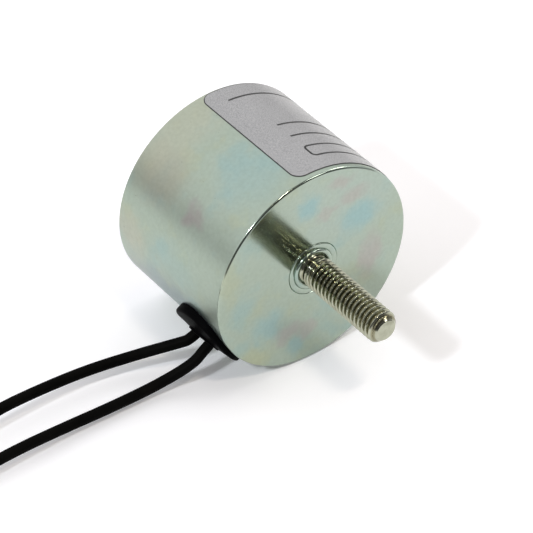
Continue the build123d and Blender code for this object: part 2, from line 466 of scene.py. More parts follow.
@dataclass(frozen=True)
class ZincPlate:
    """Pale zinc plating with a thin passive film, whose thickness tints it green, blue and pink."""

    name: str = "zinc_plate"
    colour: Triple = (0.405, 0.478, 0.405)
    pale: Triple = (0.425, 0.50, 0.435)
    film: float = 0.4
    patch: float = 7 * MM
    wave: float = 3.5 * MM
    wave_reach: float = 5 * MM
    roughness: float = 0.26
    grain_size: float = 0.3 * MM
    grain_depth: float = 0.0012 * MM
    mottle: float = 0.7 * MM
    speck: float = 0.55 * MM
    spots: tuple[Spot, ...] = ()

    def make(self) -> Material:
        """Draws the film's tint, then the spots, fine mottling and a few dark specks.

        Returns:
            The material.
        """
        sketch = Sketch(self.name)
        stops = [(0.34, YELLOW), (0.42, self.colour), (0.54, self.pale), (0.66, BLUE)]
        tint = sketch.mix(self.colour, sketch.ramp(sketch.noise(self.patch, 3), stops), self.film)
        wavy = sketch.wavy_place(self.wave, self.wave_reach)
        for spot in self.spots:
            centre = Vector(spot.centre) * MM + Vector.Fill(3, self.wave_reach / 2)
            share = sketch.spot(wavy, centre, Vector(spot.reach) * MM)
            tint = sketch.mix(tint, spot.colour, sketch.maths("MULTIPLY", share, spot.strength))
        mottling = [(0.3, (0.95, 0.95, 0.945)), (0.7, (1.04, 1.04, 1.04))]
        tint = sketch.mix(tint, sketch.ramp(sketch.noise(self.mottle, 4), mottling), 1.0, "MULTIPLY")
        specks = sketch.ramp(sketch.noise(self.speck, 2), [(0.2, (0.45, 0.42, 0.36)), (0.27, (1, 1, 1))])
        sketch.set(Metallic=1.0, Base_Color=sketch.mix(tint, specks, 0.7, "MULTIPLY"))
        grain = sketch.noise(self.grain_size, 4)
        sketch.grain(grain, (self.roughness - 0.02, self.roughness + 0.03), self.grain_depth)
        return sketch.material


SIDE_SPOTS = (
    Spot(BROWN, (-23, -15, 13), (9, 7, 7), 0.55),
    Spot((0.40, 0.35, 0.35), (-12, -16, 11.5), (3.2, 3, 3), 0.75),
    Spot((0.48, 0.485, 0.385), (-27, -8, 18), (9, 14, 14), 0.6),
    Spot(BLUE, (-8, -7, 18.5), (8, 8, 8), 0.45),
    Spot(BLUE, (-13, -19.5, 2), (9, 5, 5), 0.3),
    Spot((0.36, 0.36, 0.40), (-24, -17, -10), (7, 6, 5), 0.5),
    Spot((0.49, 0.485, 0.40), (-26, -20, 1), (5, 6, 6), 0.55),
    # Painted shade: darkens and blues the lower flank where it reflects the shadowed floor.
    Spot((0.28, 0.345, 0.365), (-14, -19, -8), (18, 6, 7.5), 0.85),
)
FACE_SPOTS = (
    Spot((0.42, 0.50, 0.455), (0, 7, 12), (9, 15, 11), 0.7),
    Spot(BLUE, (0, -1.2, 13.6), (9, 3.2, 3.2), 0.95),
    Spot(BLUE, (0, 10, 6.8), (9, 5.2, 3.6), 0.95),
    Spot(PINK, (0, 5.8, 16.2), (9, 3.6, 2.0), 0.75),
    Spot(PINK, (0, 8.4, 12.2), (9, 4.2, 2.4), 0.75),
    Spot(PINK, (0, 3.0, 10.8), (9, 2.8, 1.6), 0.6),
    Spot(PINK, (0, 12.2, -3.2), (9, 3.0, 6.0), 0.85),
    Spot(PINK, (0, -5.6, -12), (9, 3.8, 3.0), 0.8),
    Spot(PINK, (0, -1.4, -13.4), (9, 2.8, 2.0), 0.7),
    Spot(BLUE, (0, -9.6, -8.4), (9, 4.4, 4.0), 0.75),
    Spot(BLUE, (0, -3.0, -15.8), (9, 3.2, 2.2), 0.7),
    Spot(BLUE, (0, -15, -2.6), (9, 3.2, 5.0), 0.55),
    Spot(YELLOW, (0, -12.5, -14), (9, 5.0, 4.0), 0.8),
    Spot(YELLOW, (0, -17.5, 5), (9, 3.0, 6.0), 0.6),
)


@dataclass(frozen=True)
class Plain:
    """A plastic, rubber or resin: its colour varies softly from shade to colour, over a fine grain."""

    name: str
    colour: Triple
    shade: Triple
    roughness: float
    metallic: float = 0.0
    index: float = 1.5
    cloud: float = 4 * MM
    stops: Pair = (0.32, 0.66)
    grain: float = 0.3 * MM
    depth: float = 0.004 * MM
    smoother: float = 0.04
    rougher: float = 0.06

    def tone(self, sketch: Sketch) -> Socket:
        """The colour."""
        return sketch.ramp(sketch.noise(self.cloud, 3), list(zip(self.stops, (self.shade, self.colour))))

    def make(self) -> Material:
        """Makes the finish.

        Returns:
            The material.
        """
        sketch = Sketch(self.name)
        sketch.set(Metallic=self.metallic, IOR=self.index, Base_Color=self.tone(sketch))
        roughness = (self.roughness - self.smoother, self.roughness + self.rougher)
        sketch.grain(sketch.noise(self.grain, 3), roughness, self.depth)
        return sketch.material


@dataclass(frozen=True)
class BrightSteel(Plain):
    """Bright metal: the stud's plated steel, or copper strands and wire."""

    metallic: float = 1.0
    cloud: float = 1.6 * MM
    stops: Pair = (0.35, 0.6)
    depth: float = 0.001 * MM
    smoother: float = 0.03
    # Painted shade: this colour is multiplied into the thread roots, where shade falls.
    root: Triple | None = None
    root_inner: Pair = (2.1 * MM, 2.3 * MM)
    root_outer: Pair = (2.5 * MM, 2.85 * MM)

    def tone(self, sketch: Sketch) -> Socket:
        """The colour, with painted shade in the thread roots: darker where the distance from the X axis is a
        thread root's.

        Args:
            sketch: The material under construction.

        Returns:
            The socket of the colour.
        """
        tone = super().tone(sketch)
        if self.root is None:
            return tone
        radius = sketch.radius()
        inner = sketch.spread(radius, 0, 1, self.root_inner)
        outer = sketch.spread(radius, 1, 0, self.root_outer)
        return sketch.mix(tone, self.root, sketch.maths("MULTIPLY", inner, outer), "MULTIPLY")


@dataclass(frozen=True)
class GroundSteel:
    """The working face, ground flat after plating, with fine parallel lines."""

    name: str = "ground_pole_face"
    colour: Triple = (0.53, 0.54, 0.53)
    shade: Triple = (0.40, 0.41, 0.40)
    line: float = 0.18 * MM
    stretch: Triple = (1, 60, 1)
    roughness: Pair = (0.22, 0.34)
    depth: float = 0.003 * MM

    def make(self) -> Material:
        """Makes the finish.

        Returns:
            The material.
        """
        sketch = Sketch(self.name)
        lines = sketch.noise(self.line, 2, self.stretch)
        sketch.set(Metallic=1.0, Base_Color=sketch.ramp(lines, [(0.3, self.shade), (0.6, self.colour)]))
        sketch.grain(lines, self.roughness, self.depth)
        return sketch.material


@dataclass(frozen=True)
class SilverFilm:
    """The label's matt silver film: grey with a fine sparkle of lighter and darker grains."""

    name: str = "label_film"
    colour: Triple = (0.345, 0.345, 0.358)
    light: Triple = (0.43, 0.43, 0.44)
    dark: Triple = (0.25, 0.25, 0.26)
    roughness: float = 0.24
    sparkle: float = 0.16 * MM
    cloud: float = 6 * MM
    depth: float = 0.003 * MM

    def make(self) -> Material:
        """Makes the finish.

        Returns:
            The material.
        """
        sketch = Sketch(self.name)
        sparkle = sketch.noise(self.sparkle, 2)
        tone = sketch.ramp(sparkle, [(0.28, self.dark), (0.5, self.colour), (0.72, self.light)])
        cloud = sketch.ramp(sketch.noise(self.cloud, 2), [(0.3, (0.95, 0.95, 0.95)), (0.7, (1, 1, 1))])
        sketch.set(Roughness=self.roughness, Base_Color=sketch.mix(tone, cloud, 1.0, "MULTIPLY"))
        sketch.relief(sparkle, self.depth)
        return sketch.material


def finish(recipe: ZincPlate | Plain | GroundSteel | SilverFilm) -> Material:
    """A dataclass field that holds the recipe's material, which is made with the object."""
    return field(default_factory=recipe.make)


@dataclass
class Finishes:
    """Every material of the magnet, made once."""

    pot: Material = finish(ZincPlate("zinc_plate_side", roughness=0.32, spots=SIDE_SPOTS))
    face: Material = finish(
        ZincPlate("zinc_plate_face", roughness=0.15, grain_depth=0.00008 * MM, spots=FACE_SPOTS)
    )
    ground: Material = finish(GroundSteel())
    # The stud's root colour paints shade into its thread roots.
    stud: Material = finish(
        BrightSteel("stud_plate", (0.48, 0.49, 0.39), (0.37, 0.375, 0.29), 0.12, root=(0.62, 0.58, 0.49))
    )
    tinned: Material = finish(BrightSteel("tinned_copper", (0.78, 0.78, 0.76), (0.6, 0.6, 0.58), 0.2))
    film: Material = finish(SilverFilm())
    # Partly the label's adhesive, partly a painted shadow line along its edge.
    adhesive_and_shadow: Material = finish(Plain("label_edge", (0.05, 0.05, 0.05), (0.03, 0.03, 0.03), 0.6))
    ink: Material = finish(Plain("label_ink", (0.02, 0.02, 0.022), (0.012, 0.012, 0.012), 0.45))
    rubber: Material = finish(
        Plain("grommet_rubber", (0.0025, 0.0025, 0.003), (0.0018, 0.0018, 0.002), 0.38, index=1.05)
    )
    insulation: Material = finish(
        Plain("lead_insulation", (0.004, 0.0038, 0.0034), (0.0026, 0.0026, 0.0024), 0.5, index=1.08)
    )
    resin: Material = finish(Plain("casting_resin", (0.02, 0.02, 0.022), (0.012, 0.012, 0.013), 0.25))
    copper: Material = finish(BrightSteel("enamelled_copper", (0.62, 0.27, 0.11), (0.5, 0.2, 0.07), 0.28))
    nylon: Material = finish(Plain("bobbin_nylon", (0.72, 0.70, 0.62), (0.64, 0.62, 0.54), 0.42))
    tape: Material = finish(Plain("coil_tape", (0.72, 0.52, 0.10), (0.62, 0.43, 0.07), 0.3))
    sleeve: Material = finish(Plain("splice_sleeve", (0.02, 0.02, 0.02), (0.012, 0.012, 0.012), 0.4))


# Camera, floor and light


@dataclass(frozen=True)
class Lamp:
    """One small soft lamp: its direction from the magnet, sides in metres, power in watts and colour."""

    name: str
    towards: Triple
    size: Pair
    power: float
    colour: Triple
    distance: float = 1.0

    def hang(self) -> None:
        """Makes the lamp, which faces the magnet."""
        data = bpy.data.lights.new(self.name, "AREA")
        data.shape = "RECTANGLE"
        data.size, data.size_y = self.size
        data.energy = self.power
        data.color = self.colour
        towards = Vector(self.towards).normalized()
        stand(self.name, data, towards * self.distance, -towards)


@dataclass
class Studio:
    """A pale floor, soft light from above and four small lamps, and the photograph's camera.

    The sky's two tables hold (cosine of the angle from a direction, level), from the darkest
    direction and from straight up.
    """

    camera_place: Triple = (0.3080, -0.2395, 0.3318)
    camera_heading: Triple = (-0.6110, 0.4554, -0.6474)
    lens: float = 202.63
    floor_height: float = -20 * MM
    floor_size: float = 6.0
    floor_colour: Triple = (0.91, 0.91, 0.915)
    floor_glow: float = 0.05
    seen_colour: Triple = (1.05, 1.04, 1.075)
    # Painted dark reflection: from here along X, glossy rays see the floor dark.
    dark_reflection_from: Pair = (0.065, 0.14)
    dark_reflection_level: float = 0.15
    sky: float = 1.02
    dark_towards: Triple = (0.943, -0.149, 0.298)
    sky_dark: tuple[Pair, ...] = ((-1, 1), (0.15, 1), (0.4, 0.45), (0.58, 0.16), (1, 0.1))
    sky_height: tuple[Pair, ...] = ((-1, 1), (-0.1, 0.6), (0.1, 0.52), (0.3, 0.82), (0.5, 1), (1, 1))
    lamps: tuple[Lamp, ...] = (
        Lamp("left_lamp", (0.216, -0.689, 0.692), (0.08, 0.08), 3.6, (0.93, 0.97, 1.0)),
        Lamp("stud_lamp", (0.45, -0.036, 0.89), (0.15, 0.06), 1.6, (1.0, 0.9, 0.76)),
        Lamp("right_lamp", (0.0, 0.8, 0.6), (0.25, 0.25), 1.2, (1.0, 0.94, 0.87)),
        Lamp("front_lamp", (0.6, 0.5, 0.62), (0.25, 0.25), 1.1, (1.0, 0.97, 0.93)),
    )

    def camera(self) -> None:
        """Makes the scene's camera."""
        data = bpy.data.cameras.new("camera")
        data.lens = self.lens
        data.sensor_width = 36
        data.clip_start = 0.01
        bpy.context.scene.camera = stand("camera", data, self.camera_place, Vector(self.camera_heading))

    def floor(self) -> None:
        """Lays the floor, which glows a little for camera, glossy and transmission rays.

        To glossy rays only, the floor is painted dark from a hand's width in front of the magnet on: a
        painted dark reflection in the metal, while the camera still sees it pale.
        """
        half = self.floor_size / 2
        sides = np.array([(-half, -half), (half, -half), (half, half), (-half, half)])
        places = np.column_stack([sides, np.full(4, self.floor_height)])
        floor = new_object("floor", places, [np.array([[0, 1, 2, 3]])])
        sketch = Sketch("floor_paper")
        camera, glossy, through = (
            sketch.add("LightPath", output=f"Is {kind} Ray") for kind in ("Camera", "Glossy", "Transmission")
        )
        seen = sketch.maths("MAXIMUM", sketch.maths("MAXIMUM", camera, glossy), through)
        ahead = sketch.add("SeparateXYZ", {0: sketch.place}, "X")
        # Painted dark reflection: glossy rays see the floor dark ahead of the magnet.
        far = sketch.spread(ahead, 0, 1 - self.dark_reflection_level, self.dark_reflection_from)
        painted_dark_reflection = sketch.maths("MULTIPLY", far, glossy)
        kept = sketch.maths("MULTIPLY", seen, sketch.maths("SUBTRACT", 1.0, painted_dark_reflection))
        pale = sketch.mix(self.floor_colour, self.seen_colour, camera)
        sketch.set(
            Base_Color=sketch.mix(pale, (0, 0, 0), painted_dark_reflection),
            Roughness=0.9,
            Specular_IOR_Level=0.2,
            Emission_Color=(1, 1, 1, 1),
            Emission_Strength=sketch.maths("MULTIPLY", kept, self.floor_glow),
        )
        floor.data.materials.append(sketch.material)

    def world(self) -> None:
        """The sky: bright, but dark on the photographer's side and darker at the horizon."""
        world = bpy.data.worlds.new("studio")
        bpy.context.scene.world = world
        world.use_nodes = True
        sky = Tree(world.node_tree)
        direction = sky.add("TexCoord", output="Generated")
        levels = []
        for towards, stops in ((self.dark_towards, self.sky_dark), ((0, 0, 1), self.sky_height)):
            cosine = sky.add("VectorMath", {0: direction, 1: towards}, "Value", operation="DOT_PRODUCT")
            whole = sky.add("MapRange", {"Value": cosine, "From Min": -1}, "Result")
            levels.append(sky.ramp(whole, [((place + 1) / 2, (level,) * 3) for place, level in stops]))
        light = sky.mix(*levels, 1.0, "MULTIPLY")
        lit = sky.add("Background", {"Color": light, "Strength": self.sky})
        seen = sky.add("Background", {"Color": (1, 1, 1, 1)})
        choice = sky.add("MixShader", {"Fac": sky.add("LightPath", output="Is Camera Ray"), 1: lit, 2: seen})
        sky.join(choice, sky.tree.nodes.new("ShaderNodeOutputWorld").inputs["Surface"])

    def build(self) -> None:
        """Makes the camera, floor, sky and lamps."""
        self.camera()
        self.floor()
        self.world()
        for lamp in self.lamps:
            lamp.hang()
        bpy.context.scene.view_settings.view_transform = "Standard"


# The magnet


@dataclass
class Wall:
    """The grommet's own frame on the pot's side: local Z points out, X stays along the magnet."""

    radius: float = 20 * MM
    place: float = -7.3 * MM
    angle: float = math.radians(33)
    post_reach: Pair = (0.5, 1.5)

    def out(self) -> Points:
        """Unit direction from the axis out through the grommet."""
        return np.array([0, -math.cos(self.angle), -math.sin(self.angle)])

    def up(self) -> Points:
        """Unit direction round the body, at right angles to out."""
        return np.array([0, -math.sin(self.angle), math.cos(self.angle)])

    def point(self, x: Points, y: Points, z: Points) -> Points:
        """Local (x, y, z) as a place in the row frame: (place + x) X + y up + z out."""
        along = np.stack([self.place + x, 0 * x, 0 * x], axis=-1)
        return along + y[..., None] * self.up() + z[..., None] * self.out()

    def post(self, name: str, radius: float, x: float = 0.0) -> Piece:
        """A round post through the wall, to cut a hole with: it reaches post_reach radii out.

        Args:
            name: Name of the post.
            radius: Its radius.
            x: Its place along the magnet, from the grommet's middle.

        Returns:
            The object.
        """
        angle = once_round(64)
        height = np.array(self.post_reach)[:, None] * self.radius
        ring = np.cos(angle) * radius + x, np.sin(angle) * radius
        return rows_object(name, self.point(ring[0] + 0 * height, ring[1] + 0 * height, height + 0 * angle))


@dataclass
class Lead:
    """One flying lead, its put-away coil and its tinned end."""

    side: Side
    way: Winding
    route: Route
    turns: float
    inner: float
    finishes: Finishes
    wall: Wall
    diameter: float = 2 * MM
    pitch: float = 3.4 * MM
    free_length: float = 200 * MM
    start_out: float = 16.2 * MM
    exit_out: float = 21.75 * MM
    turn_radius: float = 12.6 * MM
    turn_pitch: float = 2.2 * MM
    tail_radius: float = 4.6 * MM
    strip: float = 4 * MM
    steps: int = 24
    strands: int = 6
    strand_lay: float = 9 * MM
    strand_radius: float = 0.16 * MM
    strand_spread: float = 2.05
    tuck: float = 0.3 * MM

    @property
    def name(self) -> str:
        """The lead's name, as its CAD node's."""
        return f"{self.side.name.lower()}_lead"

    def on_axis(self, out: float) -> Points:
        """A place on the lead's straight line through the grommet, out from the magnet's axis."""
        x = np.array(self.side.value * self.pitch / 2)
        return self.wall.point(x, np.array(0.0), np.array(out))

    def coil(self) -> tuple[Points, Points, Points]:
        """Control points of the coil, and where and which way it ends.

        The turns close in by turn_pitch each: r = turn_radius - turn_pitch * angle / 360 degrees. An
        off-centre half circle from the innermost radius to tail_radius ends them. A quadratic spline
        runs inside its control circle by (3 + cos step) / 4, so the control radius is larger by that.

        Returns:
            The control points, the last point's place and the unit direction there.
        """
        start = np.array(self.route[-1])
        way = self.way.value
        centre = start + np.array([way * self.turn_radius, 0, 0])
        step = 2 * math.pi / self.steps
        swell = 4 / (3 + math.cos(step))
        swept = np.arange(1, math.ceil(self.turns * self.steps)) * step
        first = math.pi / 2 + way * math.pi / 2
        radius = (self.turn_radius - self.turn_pitch * swept / (2 * math.pi)) * swell
        angle = first + way * swept
        turns = centre + np.stack([radius * np.cos(angle), radius * np.sin(angle), 0 * angle], axis=1)
        last = first + way * 2 * math.pi * self.turns
        outwards = np.array([math.cos(last), math.sin(last), 0])
        middle = centre + outwards * (self.inner - self.tail_radius) / 2
        half = np.linspace(0, 1, self.steps // 2 + 1)[:, None] * math.pi * way + last
        loop_radius = (self.inner + self.tail_radius) / 2 * swell
        loop = middle + loop_radius * np.concatenate([np.cos(half), np.sin(half), 0 * half], axis=1)
        end = centre - outwards * self.tail_radius
        heading = np.array([way * math.sin(last), -way * math.cos(last), 0])
        loop[-1] = end
        return np.concatenate([turns, loop]), end, heading

    def build(self) -> None:
        """Makes the cord and its tinned end."""
        coil, end, heading = self.coil()
        starts = [self.on_axis(self.start_out), self.on_axis(self.exit_out + self.diameter / 2)]
        points = np.concatenate([np.array(starts), np.array(self.route), coil])
        curve = bpy.data.curves.new(self.name, "CURVE")
        curve.dimensions = "3D"
        curve.bevel_depth = self.diameter / 2
        curve.bevel_resolution = 5
        curve.resolution_u = 10
        curve.use_fill_caps = True
        spline = curve.splines.new("NURBS")
        spline.points.add(len(points) - 1)
        spline.points.foreach_set("co", np.column_stack([points, np.ones(len(points))]).ravel())
        spline.order_u = 3
        spline.use_endpoint_u = True
        cord = stand(f"{self.name}_cord", curve)
        tip = self.tinned_end(end, heading)
        settle(cord, self.finishes.insulation, "lead_insulation", self.name, f"{self.name}_coil")
        self.on_axis(self.exit_out)

    def tinned_end(self, end: Points, heading: Points) -> Piece:
        """The stripped strands: one straight, and the others laid round it as helices.

        Strand k's line is end + heading * s + lay * (cos a * across + sin a * Z), where lay is
        strand_spread strand radii, a = 2 pi (s / strand_lay + k / strands), and s runs from tuck
        inside the insulation to strip. A tube goes round each line.

        Args:
            end: Where the insulation ends.
            heading: Unit direction of the lead there.

        Returns:
            The piece.
        """
        upright = np.array([0, 0, 1.0])
        length = np.linspace(-self.tuck, self.strip, 30)
        across = np.cross(upright, heading)
        around = once_round(12)[0]
        vertices, polygons = [], []
        for k in range(self.strands + 1):
            lay = 0.0 if k == self.strands else self.strand_spread * self.strand_radius
            angle = 2 * math.pi * (length / self.strand_lay + k / self.strands)
            offset = lay * (np.cos(angle)[:, None] * across + np.sin(angle)[:, None] * upright)
            line = end + length[:, None] * heading + offset
            ring = self.strand_radius * (np.cos(around)[:, None] * across + np.sin(around)[:, None] * upright)
            start = sum(len(v) for v in vertices)
            vertices.append((line[:, None, :] + ring[None]).reshape(-1, 3))
            polygons.append(grid_polygons(len(length), len(around), False, start))
            for row in (0, len(length) - 1):
                polygons.append(start + row * len(around) + np.arange(len(around))[None, :])
        tip = new_object(f"{self.name}_tinned_end", np.concatenate(vertices), polygons)
        return settle(tip, self.finishes.tinned, "tinned_strands", f"{self.name}_bare_end")


@dataclass
class Pot:
    """The turned steel cup, the core that is staked into it, and the resin between them."""

    finishes: Finishes
    wall: Wall
    radius: float = 20 * MM
    length: float = 29.5 * MM
    wall_t: float = 2.6 * MM
    back_t: float = 3.5 * MM
    rim: float = 0.45 * MM
    pole_edge: float = 0.25 * MM
    broken: float = 0.06 * MM
    corner: float = 0.2 * MM
    spigot: float = 5.05 * MM
    joint: float = 0.02 * MM
    groove: float = 0.14 * MM
    hole: float = 3.15 * MM
    core: float = 8.5 * MM
    core_edge: float = 0.05 * MM
    swell_inner: float = 4.05 * MM
    swell_rise: float = 0.14 * MM
    collar_inner: float = 3.1 * MM
    collar_rise: float = 0.42 * MM
    dimple_depth: float = 0.3 * MM
    dimple_in: float = 0.03 * MM
    stud_hole: float = 3.02 * MM
    stud_depth: float = 10 * MM
    drill_point: float = 1.4 * MM
    on_axis: float = 0.001 * MM
    resin_from: float = 0.27 * MM
    resin_to: float = 2.4 * MM
    resin_sink: float = 0.14 * MM
    face_zone: float = 0.3 * MM
    ground_zone: float = 0.02 * MM

    def faces(self, piece: Piece) -> None:
        """Gives the two end faces their own finishes, by where a face's middle lies along X.

        Args:
            piece: The cup or the core.
        """
        for material in (self.finishes.pot, self.finishes.face, self.finishes.ground):
            piece.data.materials.append(material)
        middles = np.empty(len(piece.data.polygons) * 3, np.float32)
        piece.data.polygons.foreach_get("center", middles)
        x = middles[::3]
        index = np.where(x > -self.face_zone, 1, np.where(x < self.ground_zone - self.length, 2, 0))
        piece.data.polygons.foreach_set("material_index", index.astype(np.int32))

    def shell(self) -> None:
        """The cup, with its rounded rim, the groove round the spigot and the grommet's hole."""
        bore = self.radius - self.wall_t
        hole = self.spigot + self.joint
        pole, edge = self.pole_edge - self.length, self.pole_edge
        corners = [
            (-self.groove, hole, 0),
            (0, hole + self.groove, self.broken),
            (0, self.radius, self.rim),
            (pole, self.radius, self.broken),
            (-self.length, self.radius - edge, self.broken),
            (-self.length, bore + edge, self.broken),
            (pole, bore, self.broken),
            (-self.back_t - self.corner, bore, 0),
            (-self.back_t, bore - self.corner, 0),
            (-self.back_t, hole, 0),
        ]
        piece = turned("steel_pot", rounded(corners, True), True)
        cut(piece, self.wall.post("hole_cutter", self.hole))
        self.faces(piece)
        settle(piece, self.finishes.pot, "zinc_plated_steel", "pot_shell")

    def pole(self) -> None:
        """The core, with the spigot's end staked over: a low broad swell and a rounded collar inside it.

        Each is an arc over the spigot's end: x = rise * sin t and r = middle + half width * cos t,
        as t goes from 0 to pi.
        """
        t = np.linspace(0, math.pi, 13)
        bead = []
        for outer, inner, rise in (
            (self.spigot, self.swell_inner, self.swell_rise),
            (self.swell_inner, self.collar_inner, self.collar_rise),
        ):
            r = (outer + inner + (outer - inner) * np.cos(t)) / 2
            bead.append(np.column_stack([rise * np.sin(t), r]))
        socket = [
            (0, self.collar_inner, 0),
            (-self.dimple_depth, self.collar_inner - self.dimple_in, 0),
            (-self.stud_depth, self.stud_hole, 0),
            (-self.stud_depth - self.drill_point, self.on_axis, 0),
        ]
        outside = [
            (0, self.spigot, 0),
            (-self.back_t, self.spigot, self.core_edge),
            (-self.back_t, self.core, self.core_edge),
            (-self.length + self.pole_edge, self.core, self.broken),
            (-self.length, self.core - self.pole_edge, self.broken),
            (-self.length, self.on_axis, 0),
        ]
        parts = [rounded(socket, False)[::-1], np.concatenate(bead)[::-1], rounded(outside, False)]
        piece = turned("core_pole", np.concatenate(parts), False)
        self.faces(piece)
        settle(piece, self.finishes.pot, "zinc_plated_steel", "core")

    def resin(self) -> None:
        """The casting resin: its face is drawn up the walls, x = face + sink * (1 - (2 u - 1)^4)."""
        bore = self.radius - self.wall_t
        back = self.resin_to - self.length
        u = np.linspace(0, 1, 40)
        x = self.resin_from - self.length + self.resin_sink * (1 - (2 * u - 1) ** 4)
        meniscus = np.column_stack([x, self.core + (bore - self.core) * u])
        profile = np.concatenate([[(back, self.core)], meniscus, [(back, bore)]])
        piece = turned("resin_fill", profile, True)
        settle(piece, self.finishes.resin, "casting_resin", "resin_ring")

    def build(self) -> None:
        """Makes the cup, the core and the resin."""
        self.shell()
        self.pole()
        self.resin()


@dataclass
class Stud:
    """The threaded stud, with a relief groove at its root and a chamfered tip."""

    finishes: Finishes
    radius: float = 3 * MM
    out: float = 20 * MM
    inside: float = 10 * MM
    pitch: float = 1.0 * MM
    depth: float = 0.6 * MM
    rounding: float = 0.7
    relief: float = 2.6 * MM
    relief_from: float = 0.45 * MM
    relief_to: float = 0.9 * MM
    runout: float = 2.5 * MM
    runout_depth: float = 0.45
    crest_to: float = 1 / 8
    root_from: float = 3 / 4
    tip: float = 1.95 * MM
    tip_step: float = 0.03 * MM
    end_gap: float = 0.02 * MM
    per_turn: int = 22
    around: int = 72

    def build(self) -> None:
        """Makes the stud.

        With the phase p = x / pitch - angle / 2 pi and t = 2 |frac(p) - 1 / 2|, which is 1 on a root
        and 0 on a crest, the thread is r = radius - depth * s, where s goes from 0 to 1 as t goes from
        crest_to to root_from, blended by rounding with s^2 (3 - 2 s), which rounds its edges. It runs
        out to runout_depth of its depth at the relief. The relief and the tip's chamfer are cones
        that hold r down.
        """
        count = int((self.out + self.inside) / self.pitch * self.per_turn)
        x = np.linspace(-self.inside, self.out - self.end_gap, count)[:, None]
        angle = once_round(self.around)
        phase = x / self.pitch - angle / (2 * math.pi)
        t = 2 * np.abs(phase - np.floor(phase) - 0.5)
        s = np.clip((t - self.crest_to) / (self.root_from - self.crest_to), 0, 1)
        s = (1 - self.rounding) * s + self.rounding * s * s * (3 - 2 * s)
        grown = np.clip((x - self.relief_to) / self.runout, 0, 1)
        r = self.radius - self.depth * s * (self.runout_depth + (1 - self.runout_depth) * grown)
        neck = self.relief + np.maximum(np.maximum(x - self.relief_to, self.relief_from - x), 0)
        nose = self.tip + self.out - x
        foot = self.relief + self.inside + x
        r = np.minimum(np.minimum(r, neck), np.minimum(nose, foot))
        grid = about_axis(x, r, angle)
        last = grid[-1:].copy()
        last[..., 0] = self.out
        last[..., 1:] *= (self.tip - self.tip_step) / self.tip
        piece = rows_object("threaded_stud", np.concatenate([grid, last]))
        settle(piece, self.finishes.stud, "stud_steel", "mounting_stud")


@dataclass
class Grommet:
    """The moulded rubber grommet: a saddle on the wall, a neck, a lip inside and a boss for the leads."""

    finishes: Finishes
    wall: Wall
    flange: float = 6.9 * MM
    flange_t: float = 1.5 * MM
    flange_round: float = 0.42 * MM
    step: float = 0.02 * MM
    foot_round: float = 0.08 * MM
    neck: float = 3.1 * MM
    lip: float = 3.5 * MM
    lip_l: float = 1.1 * MM
    lip_mouth: float = 0.2 * MM
    lip_cone: float = 0.35 * MM
    lip_back: float = 0.05 * MM
    wall_t: float = 2.6 * MM
    boss_half: float = 0.85 * MM
    boss_r: float = 2.6 * MM
    boss_top: float = 0.9 * MM
    boss_round: float = 0.2 * MM
    boss_foot: float = 0.1 * MM
    boss_draft: float = 0.05 * MM
    blend: Pair = (1.2 * MM, 0.5 * MM)
    rise: float = 0.25 * MM
    bore: float = 1.05 * MM
    pitch: float = 3.4 * MM
    thinning: float = 0.45
    thin_towards: float = math.radians(-40)
    around: int = 128

    def oblong(self, angle: Points, reach: Points) -> Points:
        """Distance from the middle to an oblong's edge, which is reach away from a segment on X.

        On its straight sides it is reach / |sin a|, where that times |cos a| stays on the segment, and
        on its ends half |cos a| + sqrt(reach^2 - half^2 sin^2 a).

        Args:
            angle: The angles a from X.
            reach: The reach of each row.

        Returns:
            The distances.
        """
        sine, cosine = np.abs(np.sin(angle)), np.abs(np.cos(angle))
        straight = reach / np.maximum(sine, 1e-9)
        end = self.boss_half * cosine + np.sqrt(reach**2 - (self.boss_half * sine) ** 2)
        return np.where(straight * cosine <= self.boss_half, straight, end)

    def build(self) -> None:
        """Makes the grommet from rows (radius, height over the wall), with an oblong's share for each.

        A row's point at angle a is x = r cos a, y = r sin a, at the height that keeps it h over the
        pot's side: z = sqrt((R + h)^2 - y^2), which turns into a flat z = R + h towards the boss's
        top. A share of 1 makes r the oblong's, and 0 a circle's. Where the flange is squeezed under
        the magnet, h is less by thinning times (r / flange) times (1 + cos(a - thin_towards)) / 2.
        """
        top, crest = self.flange_t, self.flange_t + self.rise
        flange = [
            (self.neck, 0, 0),
            (self.flange - self.step, 0, self.foot_round),
            (self.flange, top, self.flange_round),
            (self.boss_r + self.blend[0], top + self.step, 0),
        ]
        end = -self.wall_t - self.lip_l
        inside = [
            (self.lip_mouth, end),
            (self.lip - self.lip_cone, end),
            (self.lip, end + self.lip_cone),
            (self.lip, -self.wall_t - self.lip_back),
            (self.neck, -self.wall_t),
        ]
        crown = [
            (self.boss_r + self.blend[1], top, 0),
            (self.boss_r + self.step, top, self.boss_foot),
            (self.boss_r - self.boss_draft, crest, self.boss_round),
            (self.boss_top, crest, 0),
        ]
        flange, crown = rounded(flange, False), rounded(crown, False)
        rows = np.concatenate([inside, flange, crown])
        share = (np.arange(len(rows)) >= len(rows) - len(crown)).astype(float)[:, None]
        angle = once_round(self.around)
        reach, over = rows[:, :1], rows[:, 1:]
        r = reach * (1 - share) + self.oblong(angle, np.maximum(reach, self.boss_top)) * share
        x, y = r * np.cos(angle), r * np.sin(angle)
        squeeze = self.thinning * r / self.flange * (1 + np.cos(angle - self.thin_towards)) / 2
        height = self.wall.radius + np.where(over > 0, over * (1 - squeeze), over)
        flat = np.clip((over - top) / self.rise, 0, 1) * share
        z = np.sqrt(height**2 - y**2) * (1 - flat) + height * flat
        piece = rows_object("lead_grommet_moulding", self.wall.point(x, y, z))
        for side in Side:
            cut(piece, self.wall.post("bore_cutter", self.bore, side.value * self.pitch / 2))
        settle(piece, self.finishes.rubber, "black_rubber", "lead_grommet")


